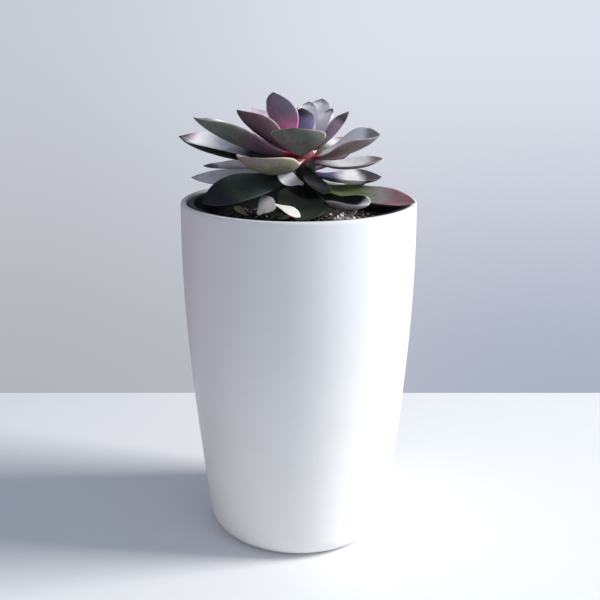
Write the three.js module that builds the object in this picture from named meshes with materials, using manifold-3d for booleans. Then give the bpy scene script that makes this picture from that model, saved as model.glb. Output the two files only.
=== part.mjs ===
// A potted echeveria: a rosette of fleshy cupped leaves on a short stem, rooted in soil inside
// a dark insert that hangs in a tall white cover pot.
// Millimetres, +Z up. The origin is the centre of the pot's foot, on the surface it stands on.
// The plant's front, as photographed, faces -Y.
import * as THREE from "three";
import { mergeVertices } from "three/addons/utils/BufferGeometryUtils.js";
import Module from "manifold-3d";

const wasm = await Module();
wasm.setup();

// Driving dimensions of the cover pot
const POT_HEIGHT = 180;
const RIM_RADIUS = 60;
const POT_WALL = 3;
const POT_FLOOR = 5;
const FOOT = { radius: 38, recessRadius: 31, recessDepth: 1.5 };
const HEEL = { sideRadius: 48.2, topRadius: 49.4, topHeight: 10.5 };
const SIDE_BULGE = { heelPull: 103, shoulderRadius: 60.5, shoulderHeight: 143.5 };
const LIP = { round: 1.2, edge: 0.4 };
// Inside, the wall steps in at a ledge, runs down to the top of the floor's corner and rounds
// into the floor over two facets
const LEDGE = { height: 174.5, width: 1.6, slope: 0.4 };
const INNER_CORNER = { height: 18, lowInset: 8, lowRise: 1.5, floorInset: 16 };
const INNER_HEIGHTS = [140, 105, 70, 40];

// The insert that hangs by its rim on the ledge inside the pot
const SLIP = 0.3;
const INSERT = { wall: 1.4, sideGap: 1, bottom: 20, floor: 2, neck: 165 };
const INSERT_RIM = { height: 4.6, sideGap: 0.7, round: 0.8, innerEase: 0.6 };
const INSERT_CORNER = { outerInset: 4, outerRise: 4, innerInset: 6, innerRise: 5 };
const INSERT_HEIGHTS = [50, 90, 130];
const DRAINS = { count: 6, radius: 2.8, circle: 24, drillLength: 12, steps: 16 };

// The soil mounds a little towards the stem, as [radius, share of the mound] from the edge in
const SOIL = { top: 168, mound: 1.5, edgeDrop: 1, edgeInset: 3, cornerInset: 7 };
const SOIL_MOUND = [
  [28, 0.6],
  [12, 1],
  [0, 1],
];
const STEM = [
  // radius, height
  [4, 160],
  [4.2, 180],
  [5, 192],
  [5.4, 201],
  [4.8, 206],
  [3.4, 210],
  [2, 212.5],
];
const STEM_TIP = 213.5;
// The stem leans: its crown stands off the pot's axis in X, and its foot further still
const LEAN = { crown: 2.5, height: 203, slope: 0.12 };

// How finely round pieces are faceted
const POT_STEPS = 48;
const STEM_STEPS = 24;

const radians = THREE.MathUtils.degToRad;
const potLook = new THREE.MeshStandardMaterial({ color: 0xf2f3f5, roughness: 0.35 });
const insertLook = new THREE.MeshStandardMaterial({ color: 0x26282b, roughness: 0.5 });
const soilLook = new THREE.MeshStandardMaterial({ color: 0x33261c, roughness: 0.95 });
const stemLook = new THREE.MeshStandardMaterial({ color: 0x8d7a5c, roughness: 0.8 });
const leafLook = new THREE.MeshStandardMaterial({ color: 0x7d7486, roughness: 0.6 });

// Closed mesh to solid and back, for cuts
function solidOf(geometry) {
  const bare = geometry.clone();
  bare.deleteAttribute("normal");
  bare.deleteAttribute("uv");
  const merged = mergeVertices(bare, 1e-4);
  return new wasm.Manifold(
    new wasm.Mesh({
      numProp: 3,
      vertProperties: new Float32Array(merged.attributes.position.array),
      triVerts: new Uint32Array(merged.index.array),
    }),
  );
}

function geometryOf(solid) {
  const mesh = solid.getMesh();
  const geometry = new THREE.BufferGeometry();
  geometry.setAttribute("position", new THREE.BufferAttribute(mesh.vertProperties, 3));
  geometry.setIndex(new THREE.BufferAttribute(mesh.triVerts, 1));
  geometry.computeVertexNormals();
  return geometry;
}

// A solid of revolution about Z from a closed outline of [radius, height] points,
// listed from the axis at the bottom, outwards, up and back to the axis
function turned(outline, steps) {
  const points = outline.map(([radius, height]) => new THREE.Vector2(radius, height));
  return new THREE.LatheGeometry(points, steps).rotateX(Math.PI / 2);
}

function namedMesh(name, geometry, material) {
  const mesh = new THREE.Mesh(geometry, material);
  mesh.name = name;
  return mesh;
}

// The pot's outer side, from the foot round the heel to the rim
const heelCurve = new THREE.QuadraticBezierCurve(
  new THREE.Vector2(FOOT.radius, 0),
  new THREE.Vector2(HEEL.sideRadius, 0),
  new THREE.Vector2(HEEL.topRadius, HEEL.topHeight),
);
const heelRise = new THREE.Vector2(HEEL.topRadius - HEEL.sideRadius, HEEL.topHeight).normalize();
const sideCurve = new THREE.CubicBezierCurve(
  heelCurve.v2,
  heelCurve.v2.clone().addScaledVector(heelRise, SIDE_BULGE.heelPull),
  new THREE.Vector2(SIDE_BULGE.shoulderRadius, SIDE_BULGE.shoulderHeight),
  new THREE.Vector2(RIM_RADIUS, POT_HEIGHT),
);

// Outer radius of the pot's side at a height, by halving
function sideRadius(height) {
  let low = 0;
  let high = 1;
  for (let i = 0; i < 30; i++) {
    const middle = (low + high) / 2;
    if (sideCurve.getPoint(middle).y < height) low = middle;
    else high = middle;
  }
  return sideCurve.getPoint(low).x;
}

const asPair = (point) => [point.x, point.y];
const innerRadius = (height) => sideRadius(height) - POT_WALL;

function coverPot() {
  const heel = heelCurve.getPoints(4).map(asPair);
  const side = sideCurve.getPoints(10).map(asPair).slice(1, -1);
  const lip = [
    [RIM_RADIUS, POT_HEIGHT - LIP.round],
    [RIM_RADIUS - LIP.edge, POT_HEIGHT - LIP.edge],
    [RIM_RADIUS - LIP.round, POT_HEIGHT],
    [RIM_RADIUS - POT_WALL + LIP.round, POT_HEIGHT],
    [RIM_RADIUS - POT_WALL, POT_HEIGHT - LIP.round],
  ];
  const inside = [
    [innerRadius(LEDGE.height), LEDGE.height],
    [innerRadius(LEDGE.height) - LEDGE.width, LEDGE.height - LEDGE.slope],
  ];
  for (const height of [...INNER_HEIGHTS, INNER_CORNER.height])
    inside.push([innerRadius(height) - LEDGE.width, height]);
  const corner = innerRadius(INNER_CORNER.height);
  inside.push([corner - INNER_CORNER.lowInset, POT_FLOOR + INNER_CORNER.lowRise]);
  inside.push([corner - INNER_CORNER.floorInset, POT_FLOOR]);
  const under = [
    [0, FOOT.recessDepth],
    [FOOT.recessRadius, FOOT.recessDepth],
    [FOOT.recessRadius + 1, 0],
  ];
  const outline = [...under, ...heel, ...side, ...lip, ...inside, [0, POT_FLOOR]];
  return namedMesh("cover_pot", turned(outline, POT_STEPS), potLook);
}

// Outer radius of the insert's body, which follows the pot's inner wall
const insertRadius = (height) => innerRadius(height) - LEDGE.width - INSERT.sideGap;

function insertPot() {
  const rimOuter = innerRadius(LEDGE.height) - INSERT_RIM.sideGap;
  const rimBottom = LEDGE.height + SLIP;
  const rimTop = rimBottom + INSERT_RIM.height;
  const neck = insertRadius(INSERT.neck);
  const bottom = insertRadius(INSERT.bottom);
  const outside = [[0, INSERT.bottom]];
  outside.push([bottom - INSERT_CORNER.outerInset, INSERT.bottom]);
  for (const height of [INSERT.bottom + INSERT_CORNER.outerRise, ...INSERT_HEIGHTS])
    outside.push([insertRadius(height), height]);
  outside.push([neck, rimBottom]);
  const rim = [
    [rimOuter, rimBottom],
    [rimOuter, rimTop - INSERT_RIM.round],
    [rimOuter - INSERT_RIM.round, rimTop],
    [neck - INSERT.wall + INSERT_RIM.innerEase, rimTop],
    [neck - INSERT.wall, rimTop - INSERT_RIM.round],
  ];
  const inside = [];
  for (const height of [INSERT.bottom + INSERT_CORNER.innerRise, ...INSERT_HEIGHTS])
    inside.unshift([insertRadius(height) - INSERT.wall, height]);
  const floorTop = INSERT.bottom + INSERT.floor;
  inside.push([bottom - INSERT_CORNER.innerInset, floorTop], [0, floorTop]);
  let solid = solidOf(turned([...outside, ...rim, ...inside], POT_STEPS));
  const { radius, drillLength, steps } = DRAINS;
  for (let i = 0; i < DRAINS.count; i++) {
    const angle = (i / DRAINS.count) * 2 * Math.PI;
    const drill = new THREE.CylinderGeometry(radius, radius, drillLength, steps)
      .rotateX(Math.PI / 2)
      .translate(DRAINS.circle * Math.cos(angle), DRAINS.circle * Math.sin(angle), INSERT.bottom);
    solid = solid.subtract(solidOf(drill));
  }
  return namedMesh("insert_pot", geometryOf(solid), insertLook);
}

function stemRadius(height) {
  const above = STEM.findIndex((ring) => ring[1] >= height);
  if (above < 1) return above === 0 ? STEM[0][0] : STEM[STEM.length - 1][0];
  const [lowRadius, low] = STEM[above - 1];
  const [highRadius, high] = STEM[above];
  return THREE.MathUtils.mapLinear(height, low, high, lowRadius, highRadius);
}

const stemCentre = (height) => LEAN.crown + LEAN.slope * (LEAN.height - height);

// The stem, or the same shape grown by a gap all round
function stemGeometry(gap = 0) {
  const rings = STEM.map(([radius, height]) => [radius + gap, height]);
  const outline = [[0, STEM[0][1] - gap], [rings[0][0], STEM[0][1] - gap]];
  outline.push(...rings.slice(1), [0, STEM_TIP + gap]);
  const geometry = turned(outline, STEM_STEPS);
  const places = geometry.attributes.position;
  for (let i = 0; i < places.count; i++)
    places.setX(i, places.getX(i) + stemCentre(places.getZ(i)));
  return geometry;
}

// The soil fills the insert round the stem's foot
function soilBed() {
  const gap = INSERT.wall + SLIP;
  const bottom = INSERT.bottom + INSERT.floor + SLIP;
  const edge = insertRadius(INSERT.neck) - gap;
  const outline = [[0, bottom]];
  outline.push([insertRadius(INSERT.bottom) - SOIL.cornerInset, bottom]);
  for (const height of [INSERT.bottom + INSERT_CORNER.innerRise, ...INSERT_HEIGHTS])
    outline.push([insertRadius(height) - gap, height]);
  outline.push([edge, SOIL.top - SOIL.edgeDrop], [edge - SOIL.edgeInset, SOIL.top]);
  for (const [radius, share] of SOIL_MOUND) outline.push([radius, SOIL.top + SOIL.mound * share]);
  const bed = solidOf(turned(outline, POT_STEPS)).subtract(solidOf(stemGeometry(SLIP)));
  return namedMesh("potting_soil", geometryOf(bed), soilLook);
}

// Every leaf is one shape, stretched to its length, width and thickness, then cupped across and
// curled along. Stations run from the base to just short of the tip, as shares of the length.
const STATIONS = [0, 0.09, 0.22, 0.36, 0.5, 0.64, 0.76, 0.86, 0.94];
const BASE_SHARE = 0.28;
const WIDEST = 0.62;
const TIP_SINK = 0.2;
const BASE_SINK = 0.4;
// A leaf's section: place across (-1 to 1), then depth below the upper face in thicknesses
const SECTION = [
  [1, 0.14],
  [0.62, -0.02],
  [0, 0],
  [-0.62, -0.02],
  [-1, 0.14],
  [-0.85, 0.46],
  [-0.48, 0.86],
  [0, 1],
  [0.48, 0.86],
  [0.85, 0.46],
];

function widthShare(along) {
  if (along < WIDEST) {
    const ease = (1 - Math.cos((Math.PI * along) / WIDEST)) / 2;
    return BASE_SHARE + (1 - BASE_SHARE) * ease;
  }
  const past = (along - WIDEST) / (1 - WIDEST);
  return (1 - past ** 2.2) ** 0.68;
}

function thicknessShare(along) {
  return (0.62 + 0.38 * Math.sin(Math.PI * along ** 0.75)) * Math.sqrt(1 - along ** 8);
}

const thicknessOf = (width) => 0.6 + 0.135 * width;

// Bends a straight run into an arc of the given angle over its length, towards +height
function bent(place, height, run, angle) {
  if (Math.abs(angle) < 1e-3) return [place, height];
  const radius = run / angle;
  const turn = place / radius;
  return [(radius - height) * Math.sin(turn), radius - (radius - height) * Math.cos(turn)];
}

function leafGeometry({ length, width, cup, curl }) {
  const thickness = thicknessOf(width);
  const positions = [];
  const addPoint = (along, across, depth) => {
    const [y, lift] = bent(across, -depth, width, radians(cup));
    const [x, z] = bent(along, lift, length, radians(curl));
    positions.push(x, y, z);
  };
  for (const along of STATIONS)
    for (const [across, depth] of SECTION)
      addPoint(
        along * length,
        (across * widthShare(along) * width) / 2,
        depth * thicknessShare(along) * thickness,
      );
  addPoint(length, 0, TIP_SINK * thickness);
  addPoint(0, 0, BASE_SINK * thickness);
  const ring = SECTION.length;
  const last = (STATIONS.length - 1) * ring;
  const tip = STATIONS.length * ring;
  const heart = tip + 1;
  const faces = [];
  for (let side = 0; side < ring; side++) {
    const next = (side + 1) % ring;
    for (let start = 0; start < last; start += ring) {
      faces.push(start + side, start + next, start + ring + side);
      faces.push(start + next, start + ring + next, start + ring + side);
    }
    faces.push(last + side, last + next, tip);
    faces.push(next, side, heart);
  }
  const geometry = new THREE.BufferGeometry();
  geometry.setAttribute("position", new THREE.Float32BufferAttribute(positions, 3));
  geometry.setIndex(faces);
  geometry.computeVertexNormals();
  return geometry;
}

// The leaves from the lowest to the heart of the rosette. Each turns about the stem by roughly
// the golden angle from the one before, and stands a little higher up.
// azimuth from +X, height of the base, rise, curl upwards, roll, cup, length, width
const LEAVES = [
  [341.2, 187.6, -14.2, 15.5, 11.5, 48.7, 50.4, 22.2],
  [132, 187, -6, -4, 0, 45, 50, 24],
  [266.2, 189, -6, -14.2, -15, 30, 44.7, 23.5],
  [50, 185.5, -2, -4, 0, 45, 39, 23],
  [176, 194.7, -12, 16, -16.1, 30, 52.1, 17.6],
  [304, 183.4, -10.3, 24.1, 4.6, 92.8, 44.5, 17.7],
  [101, 190.5, 0, -4, 0, 45, 50, 24],
  [210.6, 191.6, -2, -19.1, -27.8, 45.8, 51.2, 20],
  [6.8, 193, -12, 16.7, 8.3, 40.1, 32.6, 20.4],
  [151, 198.8, -5, -2, 2, 45, 56, 21],
  [285.3, 196.7, -25.6, 7, -20.2, 30, 24.2, 14.9],
  [68, 195.5, 4, 2, 0, 55, 46, 25],
  [199, 203.7, 10.8, 20, 0, 110, 53, 24],
  [342, 202.6, 13, 12, 11, 96, 34.8, 24.5],
  [118, 201.2, 12, 6, 0, 60, 46, 24],
  [240.1, 201, -12, 40, 0.7, 74.4, 47.2, 27.8],
  [44, 200.2, 10, 8, 0, 65, 33.5, 20],
  [174, 201.5, 0, 20, -14, 80, 58, 24],
  [86, 203.6, 23, 10, 0, 70, 43, 23],
  [214, 206.1, 23.5, 18, 4, 110, 37.5, 19],
  [345, 199.7, -10.2, 29.3, 11.3, 40, 34, 15.4],
  [145, 204.5, 30, 14, 0, 80, 33, 18],
  [264, 205.2, 16, 20, 0, 50, 32, 26],
  [69, 206.4, 38, 12, 0, 80, 31.5, 15],
  [150, 207.8, 44, 14, 0, 80, 25, 14],
  [5, 205.8, 39.4, 13.5, -15, 99.3, 24.7, 14.5],
  [219.2, 208.2, 55.4, 16, 6, 41.1, 28.6, 20.6],
  [28, 207, 50, 14, 0, 80, 21, 13],
  [160, 209.3, 60, 14, 0, 85, 10, 8.5],
  [268, 208.8, 70, 16, 0, 85, 17.5, 13],
  [76, 209, 56, 12, 0, 85, 21, 12],
  [202, 210.6, 73, 18, 0, 95, 7.5, 6],
  [347, 210, 74, 18, 0, 95, 11, 8],
  [116, 211, 74, 18, 0, 95, 11, 7.5],
  [300, 211.9, 77, 20, 0, 95, 8, 6],
  [40, 212, 78, 20, 0, 95, 8.5, 6],
];
// Clear space from a leaf's base to the stem, and the shares of its thickness that tilting up
// or down takes from it
const ROOT = { gap: 0.6, up: 0.1, down: 0.65 };

function rosette() {
  const plant = new THREE.Group();
  LEAVES.forEach(([azimuth, height, rise, curl, roll, cup, length, width], index) => {
    const name = `leaf_${String(index + 1).padStart(2, "0")}`;
    const leaf = namedMesh(name, leafGeometry({ length, width, cup, curl }), leafLook);
    const tilt = Math.sin(radians(rise));
    const room = ROOT.gap + thicknessOf(width) * Math.max(ROOT.up * tilt, -ROOT.down * tilt);
    leaf.position.set(stemRadius(height) + room, 0, height);
    leaf.rotation.set(radians(roll), radians(-rise), 0, "YXZ");
    const spoke = new THREE.Group();
    spoke.rotation.z = radians(azimuth);
    spoke.position.x = stemCentre(height);
    spoke.add(leaf);
    plant.add(spoke);
  });
  return plant;
}

const part = new THREE.Group();
part.add(coverPot(), insertPot(), soilBed());
part.add(namedMesh("stem", stemGeometry(), stemLook), rosette());
export default part;
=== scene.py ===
import math
import random

import bmesh
import bpy
from mathutils import Matrix, Vector


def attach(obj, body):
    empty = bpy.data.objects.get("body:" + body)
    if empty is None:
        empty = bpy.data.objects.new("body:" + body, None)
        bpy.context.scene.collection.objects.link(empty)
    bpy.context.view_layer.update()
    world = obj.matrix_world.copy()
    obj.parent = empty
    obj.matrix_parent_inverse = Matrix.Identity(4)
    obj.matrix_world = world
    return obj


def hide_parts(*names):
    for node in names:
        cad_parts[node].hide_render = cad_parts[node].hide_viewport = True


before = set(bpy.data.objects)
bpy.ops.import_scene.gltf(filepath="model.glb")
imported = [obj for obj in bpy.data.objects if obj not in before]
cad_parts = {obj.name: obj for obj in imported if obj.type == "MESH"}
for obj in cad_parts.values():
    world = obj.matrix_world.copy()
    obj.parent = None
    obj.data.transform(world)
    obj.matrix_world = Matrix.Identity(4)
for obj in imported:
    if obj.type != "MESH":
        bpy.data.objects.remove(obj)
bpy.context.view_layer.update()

scene = bpy.context.scene
mm = 0.001
tiny = 1e-5  # less than any step between two rings, in metres or in shares of a leaf
pole = 0.4 * mm  # radius of the last ring before a turned shell closes on its axis

# Camera: where the photograph was taken from, worked out from the rim's ellipse and the pot's sides
shot = {
    "place": (0.66 * mm, -450 * mm, 260 * mm),
    "aim": (0.66 * mm, 0, 126 * mm),
    "lens": 53.28,
    "sensor": 36,
    "nearest": 10 * mm,
}


def aimAt(thing, target):
    away = thing.location - Vector(target)
    thing.rotation_euler = away.to_track_quat("Z", "Y").to_euler()


def makeCamera():
    bpy.ops.object.camera_add(location=shot["place"])
    camera = bpy.context.object
    camera.name = "photoCamera"
    camera.data.lens = shot["lens"]
    camera.data.sensor_width = shot["sensor"]
    camera.data.clip_start = shot["nearest"]
    aimAt(camera, shot["aim"])
    scene.camera = camera


makeCamera()
print("camera placed")

# Room: a pale table that ends behind the pot, a pale wall beyond it, and one big soft window on the right.
# The wall is what the camera sees, and the fill colours are what lights the object from the room.
# A pair of numbers is where a change starts and where it is complete.
room = {
    "tableWidth": 4.0,
    "tableFront": -2.6,
    "tableBack": 0.176,
    "tableTones": ((0.83, 0.835, 0.85), (0.86, 0.865, 0.875)),
    "tableCloud": 3,
    # painted shade: the table's colour darkens away from the pot, for light falling off
    "tableFarShade": (0.6, 0.62, 0.66),
    "tableShadeFade": (0.1, 0.8),
    "tableGrain": 900,
    "tableRelief": 0.04 * mm,
    "tableRoughness": 0.55,
    "wallLeft": (0.57, 0.595, 0.665),
    "wallRight": (0.73, 0.76, 0.84),
    "wallTurn": (-0.33, 0.14),
    "wallLowLeft": (0.79, 0.77, 0.73),
    "wallLowRight": (0.55, 0.58, 0.65),
    "wallLowTurn": (-0.33, 0.33),
    "wallDrop": (0.03, -0.4),
    "fillLeft": (0.42, 0.33, 0.36),
    "fillFront": (0.245, 0.235, 0.27),
    "fillRight": (0.44, 0.5, 0.6),
    "fillFrontPlace": 0.4,
    "fillAbove": (0.25, 0.3, 0.38),
    "fillRise": (0.15, 0.9),
    "glow": (0.42, 0.5, 0.56),
    "glowPlace": (0.5, -0.86, 0.1),
    "glowSpread": (0.5, 0.98),
    "windowTurn": -2,
    "windowRise": 31,
    "windowDistance": 2.6,
    "windowAim": (0, 0, 0.13),
    "windowSize": 0.85,
    "windowPower": 88,
    "windowColour": (1, 0.985, 0.955),
}


class Wire:
    # one output of a node, so that sums on it can be written as plain expressions
    def __init__(self, board, socket):
        self.board = board
        self.socket = socket

    def __add__(self, other):
        return self.board.sum("ADD", self, other)

    def __radd__(self, other):
        return self.board.sum("ADD", other, self)

    def __sub__(self, other):
        return self.board.sum("SUBTRACT", self, other)

    def __rsub__(self, other):
        return self.board.sum("SUBTRACT", other, self)

    def __mul__(self, other):
        return self.board.sum("MULTIPLY", self, other)

    def __rmul__(self, other):
        return self.board.sum("MULTIPLY", other, self)

    def __abs__(self):
        return self.board.sum("ABSOLUTE", self, 0)


class Board:
    # a node tree being wired up
    def __init__(self, tree):
        self.tree = tree
        self.tree.nodes.clear()

    def node(self, kind, settings=None, inputs=None, output=0):
        made = self.tree.nodes.new(kind)
        for name, value in (settings or {}).items():
            if name == "stops":
                self.setStops(made.color_ramp, value)
            else:
                setattr(made, name, value)
        for name, value in (inputs or {}).items():
            if isinstance(value, Wire):
                self.tree.links.new(value.socket, made.inputs[name])
            else:
                made.inputs[name].default_value = value
        return Wire(self, made.outputs[output]) if made.outputs else made

    def setStops(self, ramp, stops):
        while len(ramp.elements) < len(stops):
            ramp.elements.new(0.5)
        for element, (place, colour) in zip(ramp.elements, stops):
            element.position = place
            element.color = (*colour, 1)

    def sum(self, operation, first, second):
        return self.node("ShaderNodeMath", {"operation": operation}, {0: first, 1: second})

    def mix(self, first, second, share, blend="MIX"):
        first = first if isinstance(first, Wire) else (*first, 1)
        second = second if isinstance(second, Wire) else (*second, 1)
        settings = {"data_type": "RGBA", "blend_type": blend}
        return self.node("ShaderNodeMix", settings, {0: share, 6: first, 7: second}, 2)

    def ease(self, value, limits):
        low, high = limits
        settings = {"interpolation_type": "SMOOTHSTEP"}
        return self.node("ShaderNodeMapRange", settings, {0: value, 1: low, 2: high})

    def place(self):
        return self.node("ShaderNodeTexCoord", output=3)

    def part(self, vector, axis):
        return self.node("ShaderNodeSeparateXYZ", inputs={0: vector}, output="XYZ".index(axis))

    def stretched(self, vector, scale):
        settings = {"operation": "MULTIPLY"}
        return self.node("ShaderNodeVectorMath", settings, {0: vector, 1: scale})

    def painted(self, name, output=0):
        # an attribute kept with the mesh: output 0 is its colour, 2 its value, 3 its alpha
        return self.node("ShaderNodeAttribute", {"attribute_name": name}, output=output)

    def speckle(self, vector, scale, detail=2, roughness=0.5):
        inputs = {"Vector": vector, "Scale": scale, "Detail": detail, "Roughness": roughness}
        return self.node("ShaderNodeTexNoise", inputs=inputs)

    def bump(self, height, distance):
        return self.node("ShaderNodeBump", inputs={"Height": height, "Distance": distance, "Strength": 1})

    def finish(self, inputs):
        shader = self.node("ShaderNodeBsdfPrincipled", inputs=inputs)
        self.node("ShaderNodeOutputMaterial", inputs={"Surface": shader})


def newMaterial(name):
    material = bpy.data.materials.new(name)
    material.use_nodes = True
    return material, Board(material.node_tree)


def dress(piece, material):
    piece.data.materials.clear()
    piece.data.materials.append(material)


def clearSelection():
    if bpy.context.object and bpy.context.object.mode != "OBJECT":
        bpy.ops.object.mode_set(mode="OBJECT")
    bpy.ops.object.select_all(action="DESELECT")


def tableMaterial():
    material, board = newMaterial("paleTable")
    place = board.place()
    cloud = board.speckle(place, room["tableCloud"], 3)
    away = board.node("ShaderNodeVectorMath", {"operation": "LENGTH"}, {0: place}, 1)
    colour = board.mix(*room["tableTones"], cloud)
    # Painted shade: the table is coloured darker further from the pot, standing in for the light falling
    # off away from it.
    colour = board.mix(colour, room["tableFarShade"], board.ease(away, room["tableShadeFade"]))
    grain = board.speckle(place, room["tableGrain"], 2)
    board.finish({
        "Base Color": colour,
        "Roughness": room["tableRoughness"],
        "Normal": board.bump(grain, room["tableRelief"]),
    })
    return material


def makeTable():
    depth = room["tableBack"] - room["tableFront"]
    middle = (room["tableBack"] + room["tableFront"]) / 2
    clearSelection()
    bpy.ops.mesh.primitive_plane_add(size=1, location=(0, middle, 0))
    table = bpy.context.object
    table.name = "table"
    table.scale = (room["tableWidth"], depth, 1)
    bpy.ops.object.transform_apply(location=True, rotation=True, scale=True)
    dress(table, tableMaterial())


def makeWalls():
    world = bpy.data.worlds.new("paleRoom")
    scene.world = world
    world.use_nodes = True
    board = Board(world.node_tree)
    direction = board.node("ShaderNodeTexCoord", output=0)
    side = board.part(direction, "X")
    rise = board.part(direction, "Z")
    seen = board.mix(room["wallLeft"], room["wallRight"], board.ease(side, room["wallTurn"]))
    low = board.mix(room["wallLowLeft"], room["wallLowRight"], board.ease(side, room["wallLowTurn"]))
    seen = board.mix(seen, low, board.ease(rise, room["wallDrop"]), "MULTIPLY")
    stops = [(0, room["fillLeft"]), (room["fillFrontPlace"], room["fillFront"]), (1, room["fillRight"])]
    felt = board.node("ShaderNodeValToRGB", {"stops": stops}, {0: side * 0.5 + 0.5})
    felt = board.mix(felt, room["fillAbove"], board.ease(rise, room["fillRise"]))
    settings = {"operation": "DOT_PRODUCT"}
    facing = board.node("ShaderNodeVectorMath", settings, {0: direction, 1: room["glowPlace"]}, 1)
    felt = board.mix(felt, room["glow"], board.ease(facing, room["glowSpread"]), "ADD")
    wall = board.node("ShaderNodeBackground", inputs={"Color": seen})
    fill = board.node("ShaderNodeBackground", inputs={"Color": felt})
    looking = board.node("ShaderNodeLightPath")
    both = board.node("ShaderNodeMixShader", inputs={0: looking, 1: fill, 2: wall})
    board.node("ShaderNodeOutputWorld", inputs={"Surface": both})


def makeWindow():
    turn = math.radians(room["windowTurn"])
    rise = math.radians(room["windowRise"])
    ray = Vector((math.cos(turn) * math.cos(rise), math.sin(turn) * math.cos(rise), math.sin(rise)))
    middle = Vector(room["windowAim"])
    bpy.ops.object.light_add(type="AREA", location=middle + ray * room["windowDistance"])
    window = bpy.context.object
    window.name = "window"
    window.data.shape = "SQUARE"
    window.data.size = room["windowSize"]
    window.data.energy = room["windowPower"]
    window.data.color = room["windowColour"]
    aimAt(window, middle)


makeTable()
makeWalls()
makeWindow()
scene.view_settings.view_transform = "Standard"
print("room lit")


# Edit-mode helpers: pick by place, stretch about a point, move
def pick(piece, test):
    cage = bmesh.from_edit_mesh(piece.data)
    cage.select_mode = {"VERT"}
    for vert in cage.verts:
        vert.select = test(vert.co)
    cage.select_flush_mode()
    bmesh.update_edit_mesh(piece.data)


def stretch(value, centre):
    bpy.ops.transform.resize(value=value, center_override=centre)


def extrudeBy(value):
    bpy.ops.mesh.extrude_region_move(TRANSFORM_OT_translate={"value": value})


def applyAll(piece):
    bpy.context.view_layer.objects.active = piece
    for modifier in list(piece.modifiers):
        bpy.ops.object.modifier_apply(modifier=modifier.name)


def alone(piece):
    clearSelection()
    piece.select_set(True)
    bpy.context.view_layer.objects.active = piece


# A point round the upright axis
def around(radius, turn, height=0):
    return Vector((radius * math.cos(turn), radius * math.sin(turn), height))


# Points of a rounded corner, from steps of (outward, upward) in mm from one place
def corner(radius, height, steps):
    return [(radius + outward * mm, height + upward * mm) for outward, upward in steps]


# A round shell pulled up ring by ring along a profile of (radius, height), closed on its axis at both ends
def turnedShell(name, profile, steps, offset=None):
    offset = offset or (lambda height: 0)
    fuller = 3 / (2 + math.cos(2 * math.pi / steps))  # the smoothed circle keeps its radius
    firstRadius, firstHeight = profile[0]
    radius, height = firstRadius, firstHeight
    start = Vector((offset(height), 0, height))
    clearSelection()
    bpy.ops.mesh.primitive_circle_add(vertices=steps, radius=radius * fuller, location=start)
    shell = bpy.context.object
    shell.name = name
    bpy.ops.object.transform_apply(location=True, rotation=True, scale=True)
    bpy.ops.object.mode_set(mode="EDIT")
    for nextRadius, nextHeight in profile[1:]:
        slide = offset(nextHeight) - offset(height)
        extrudeBy((slide, 0, nextHeight - height))
        share = nextRadius / radius
        stretch((share, share, 1), (offset(nextHeight), 0, nextHeight))
        radius, height = nextRadius, nextHeight
    bpy.ops.mesh.merge(type="CENTER")
    reach = firstRadius * fuller + tiny
    pick(shell, lambda spot: (spot - start).length < reach and abs(spot.z - firstHeight) < tiny)
    bpy.ops.mesh.merge(type="CENTER")
    bpy.ops.mesh.select_all(action="SELECT")
    bpy.ops.mesh.normals_make_consistent(inside=False)
    bpy.ops.object.mode_set(mode="OBJECT")
    return shell


def smoothed(piece, levels):
    alone(piece)
    modifier = piece.modifiers.new("smooth", "SUBSURF")
    modifier.levels = levels
    modifier.render_levels = levels
    applyAll(piece)
    bpy.ops.object.shade_smooth()


# Cover pot: tapered, with a rounded heel and a thin rim, and a ledge inside that the insert hangs on
pot = {
    "height": 180 * mm,
    "rimRadius": 60 * mm,
    "wall": 3 * mm,
    "floor": 5 * mm,
    "footRadius": 38 * mm,
    "footRing": 1 * mm,
    "recessRadius": 31 * mm,
    "recessDepth": 1.5 * mm,
    "recessCorner": ((-0.3, 1.5), (0.4, 0.9), (0.9, 0.05), (1.6, 0)),
    "heelSide": 48.2 * mm,
    "heelTop": (49.4 * mm, 10.5 * mm),
    "heelPull": 103 * mm,
    "heelRings": 6,
    "sideRings": 12,
    "shoulder": (60.5 * mm, 143.5 * mm),
    "lip": 1.1 * mm,
    "lipRound": 0.3,
    "ledgeHeight": 174.5 * mm,
    "ledgeWidth": 1.6 * mm,
    "ledgeCorner": ((0, 0.8), (-0.2, 0)),
    "ledgeDrop": 0.2 * mm,
    "innerHeights": (168, 140, 105, 70, 40, 22),
    "floorCornerTop": 18 * mm,
    "floorCorner": ((-4, 10), (-9, 6.4), (-16, 5)),
    "steps": 48,
    "tones": ((0.84, 0.825, 0.805), (0.87, 0.855, 0.835)),
    "cloud": 22,
    # painted shade: the glaze is coloured darker towards the top
    "upperShadeTone": (0.72, 0.72, 0.735),
    "upperShadeRise": (0.02, 0.15),
    "upperShadeShare": 0.85,
    "pits": 620,
    "pitTone": (0.66, 0.66, 0.66),
    "ripples": 45,
    "relief": 0.12 * mm,
}


def curvePoint(points, along):
    # de Casteljau's way to a point of a Bezier curve
    while len(points) > 1:
        points = [a.lerp(b, along) for a, b in zip(points, points[1:])]
    return points[0]


heelPoints = [
    Vector((pot["footRadius"], 0)),
    Vector((pot["heelSide"], 0)),
    Vector(pot["heelTop"]),
]
heelRise = (heelPoints[2] - heelPoints[1]).normalized()
sidePoints = [
    heelPoints[2],
    heelPoints[2] + heelRise * pot["heelPull"],
    Vector(pot["shoulder"]),
    Vector((pot["rimRadius"], pot["height"])),
]


def sideRadius(height):
    low, high = 0, 1
    for _ in range(30):
        middle = (low + high) / 2
        if curvePoint(sidePoints, middle).y < height:
            low = middle
        else:
            high = middle
    return curvePoint(sidePoints, low).x


def innerRadius(height):
    return sideRadius(height) - pot["wall"]


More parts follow.
